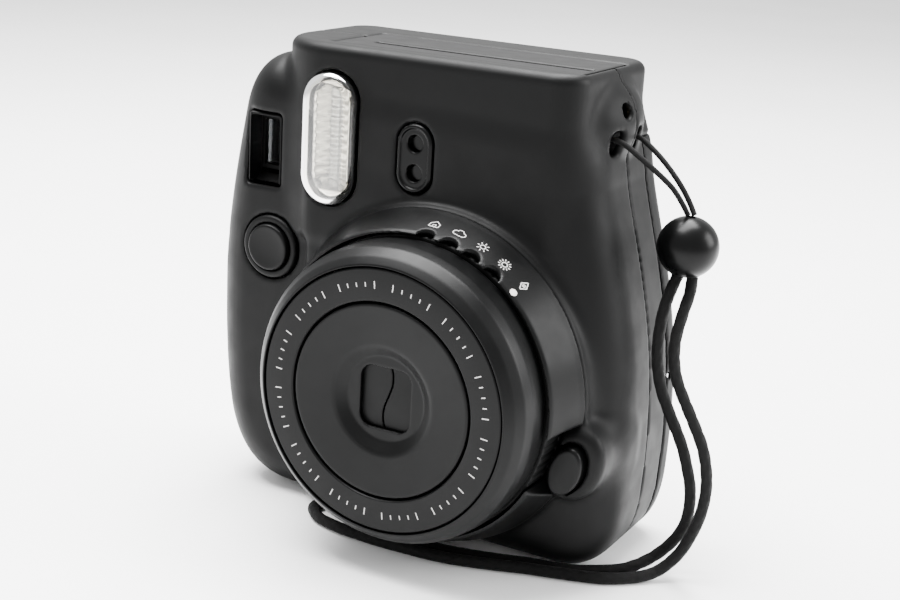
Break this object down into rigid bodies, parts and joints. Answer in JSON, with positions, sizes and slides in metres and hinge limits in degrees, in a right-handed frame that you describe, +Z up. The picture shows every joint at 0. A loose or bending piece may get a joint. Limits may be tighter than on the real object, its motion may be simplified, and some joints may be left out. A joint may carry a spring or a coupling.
{
  "type": "instant camera",
  "caption": "Compact instant film camera with a sliding lens barrel, upright flash, rear film door, film-ejecting rollers and a beaded wrist strap.",
  "frame": {"origin": "centre of the body in X and Y, on the flat underside it stands on", "axes": "+Z up, the lens and flash face -Y, the hand grip and viewfinder are on -X and the strap is on +X"},
  "size_m": [0.1354, 0.0682, 0.1183],
  "materials": {
    "front_cover": "fine matte black moulded plastic",
    "rear_shell": "fine matte black moulded plastic",
    "back_door": "fine matte black moulded plastic",
    "battery_door": "fine matte black moulded plastic",
    "film_slot_plate": "satin black plastic",
    "scale_ring": "satin black plastic, printed weather signs",
    "brightness_dial": "black plastic with a pale index dot",
    "barrel_rim": "satin black plastic with a smooth bevel",
    "barrel_face_ring": "matte black plastic with a printed scale",
    "barrel_disc": "matte black plastic",
    "lens_cover_leaf_left": "matte black plastic",
    "lens_cover_leaf_right": "matte black plastic",
    "lens_carrier": "black plastic",
    "front_lens": "clear optical plastic",
    "rear_lens": "clear optical plastic",
    "shutter_plate": "blackened sheet metal",
    "shutter_leaf": "black blade",
    "flash_window": "clear, faintly warm plastic",
    "flash_reflector": "bright formed reflector",
    "flash_tube": "clear glass tube",
    "sensor_bezel": "semi-gloss black plastic",
    "sensor_window_upper": "dark window",
    "sensor_window_lower": "dark window",
    "viewfinder_frame": "black plastic",
    "viewfinder_tube": "black plastic",
    "viewfinder_front_lens": "clear plastic lens",
    "viewfinder_eye_lens": "clear plastic lens",
    "viewfinder_eyepiece": "black soft rim",
    "shutter_bezel": "satin black plastic",
    "shutter_button": "satin black plastic",
    "shutter_spring": "spring wire",
    "power_button": "satin black plastic",
    "power_spring": "spring wire",
    "hinge_pin": "steel pin",
    "door_latch": "satin black plastic",
    "film_window": "clear tinted plastic",
    "counter_window": "clear plastic",
    "counter_wheel": "white plastic with printed numbers",
    "battery_1": "cell in a plain sleeve",
    "battery_2": "cell in a plain sleeve",
    "battery_contact_top": "plated contact strip",
    "battery_spring_1": "plated spring wire",
    "battery_spring_2": "plated spring wire",
    "film_chamber": "black plastic",
    "light_cone": "black light shield",
    "film_pack": "black plastic film pack",
    "front_roller": "rubber sleeved roller",
    "rear_roller": "steel roller",
    "front_roller_gear": "white gear plastic",
    "rear_roller_gear": "white gear plastic",
    "drive_gear": "white gear plastic",
    "motor": "steel can",
    "main_board": "green circuit board",
    "flash_capacitor": "dark sleeved capacitor",
    "film_claw": "thin steel hook",
    "strap_thread": "black cord",
    "strap_bead": "semi-gloss black bead",
    "strap_loop": "black braided cord",
    "case_screw": "small brass screw"
  },
  "bodies": {
    "camera_body": {"front_cover": "front_cover", "rear_shell": "rear_shell", "film_slot_plate": "film_slot_plate", "scale_ring": "scale_ring", "flash_window": "flash_window", "flash_reflector": "flash_reflector", "flash_tube": "flash_tube", "sensor_bezel": "sensor_bezel", "sensor_window_upper": "sensor_window_upper", "sensor_window_lower": "sensor_window_lower", "viewfinder_frame": "viewfinder_frame", "viewfinder_tube": "viewfinder_tube", "viewfinder_front_lens": "viewfinder_front_lens", "viewfinder_eye_lens": "viewfinder_eye_lens", "viewfinder_eyepiece": "viewfinder_eyepiece", "shutter_bezel": "shutter_bezel", "shutter_spring": "shutter_spring", "power_spring": "power_spring", "hinge_pin": "hinge_pin", "battery_1": "battery_1", "battery_2": "battery_2", "battery_contact_top": "battery_contact_top", "battery_spring_1": "battery_spring_1", "battery_spring_2": "battery_spring_2", "film_chamber": "film_chamber", "light_cone": "light_cone", "film_pack": "film_pack", "motor": "motor", "main_board": "main_board", "flash_capacitor": "flash_capacitor", "strap_thread": "strap_thread", "strap_bead": "strap_bead", "strap_loop": "strap_loop", "case_screw": "case_screw"},
    "barrel": {"barrel_rim": "barrel_rim", "barrel_face_ring": "barrel_face_ring", "barrel_disc": "barrel_disc", "lens_carrier": "lens_carrier", "front_lens": "front_lens", "rear_lens": "rear_lens", "shutter_plate": "shutter_plate"},
    "leaf_left": {"lens_cover_leaf_left": "lens_cover_leaf_left"},
    "leaf_right": {"lens_cover_leaf_right": "lens_cover_leaf_right"},
    "shutter_blade": {"shutter_leaf": "shutter_leaf"},
    "dial": {"brightness_dial": "brightness_dial"},
    "shutter_key": {"shutter_button": "shutter_button"},
    "power_key": {"power_button": "power_button"},
    "door": {"back_door": "back_door", "film_window": "film_window", "counter_window": "counter_window"},
    "latch": {"door_latch": "door_latch"},
    "counter": {"counter_wheel": "counter_wheel"},
    "battery_lid": {"battery_door": "battery_door"},
    "roller_front": {"front_roller": "front_roller", "front_roller_gear": "front_roller_gear"},
    "roller_rear": {"rear_roller": "rear_roller", "rear_roller_gear": "rear_roller_gear"},
    "drive": {"drive_gear": "drive_gear"},
    "claw": {"film_claw": "film_claw"}
  },
  "joints": [
    {"name": "barrel_slide", "type": "slide", "parent": "camera_body", "child": "barrel", "axis": [0, -1, 0], "range_m": [0, 0.015]},
    {"name": "leaf_left_slide", "type": "slide", "parent": "barrel", "child": "leaf_left", "axis": [-1, 0, 0], "range_m": [0, 0.009]},
    {"name": "leaf_right_slide", "type": "slide", "parent": "barrel", "child": "leaf_right", "axis": [1, 0, 0], "range_m": [0, 0.009]},
    {"name": "shutter_blade_swing", "type": "hinge", "parent": "barrel", "child": "shutter_blade", "pos_m": [0.002, -0.0145, 0.0435], "axis": [0, 1, 0], "range_deg": [0, 40], "stiffness_Nm_per_rad": 0.0002},
    {"name": "dial_turn", "type": "hinge", "parent": "camera_body", "child": "dial", "pos_m": [0.011, -0.0087, 0.0435], "axis": [0, 1, 0], "range_deg": [-56, 0]},
    {"name": "shutter_press", "type": "slide", "parent": "camera_body", "child": "shutter_key", "axis": [0, 1, 0], "range_m": [0, 0.0018], "stiffness_N_per_m": 600},
    {"name": "power_press", "type": "slide", "parent": "camera_body", "child": "power_key", "axis": [0, 1, 0], "range_m": [0, 0.0016], "stiffness_N_per_m": 600},
    {"name": "door_hinge", "type": "hinge", "parent": "camera_body", "child": "door", "pos_m": [0.0562, 0.0263, 0.031], "axis": [0, 0, -1], "range_deg": [0, 95]},
    {"name": "latch_slide", "type": "slide", "parent": "door", "child": "latch", "axis": [1, 0, 0], "range_m": [0, 0.0035], "stiffness_N_per_m": 300},
    {"name": "counter_turn", "type": "hinge", "parent": "door", "child": "counter", "pos_m": [-0.02, 0.0307, 0.016], "axis": [0, 1, 0], "range_deg": [0, 300]},
    {"name": "battery_lid_hinge", "type": "hinge", "parent": "camera_body", "child": "battery_lid", "pos_m": [-0.058, 0.0274, 0.038], "axis": [0, 0, -1], "range_deg": [0, 100]},
    {"name": "rear_roller_spin", "type": "hinge", "parent": "camera_body", "child": "roller_rear", "pos_m": [0.011, 0.0092, 0.1076], "axis": [1, 0, 0], "continuous": true},
    {"name": "front_roller_spin", "type": "hinge", "parent": "camera_body", "child": "roller_front", "pos_m": [0.011, 0.0022, 0.1076], "axis": [1, 0, 0], "continuous": true},
    {"name": "drive_gear_spin", "type": "hinge", "parent": "camera_body", "child": "drive", "pos_m": [-0.0237, 0.01355, 0.1001], "axis": [1, 0, 0], "continuous": true},
    {"name": "claw_slide", "type": "slide", "parent": "camera_body", "child": "claw", "axis": [0, 0, 1], "range_m": [0, 0.0045]}
  ],
  "couplings": [
    {"joint": "leaf_left_slide", "follows": "barrel_slide", "ratio": 0.58},
    {"joint": "leaf_right_slide", "follows": "barrel_slide", "ratio": 0.58},
    {"joint": "front_roller_spin", "follows": "rear_roller_spin", "ratio": -1},
    {"joint": "drive_gear_spin", "follows": "rear_roller_spin", "ratio": -0.625}
  ]
}
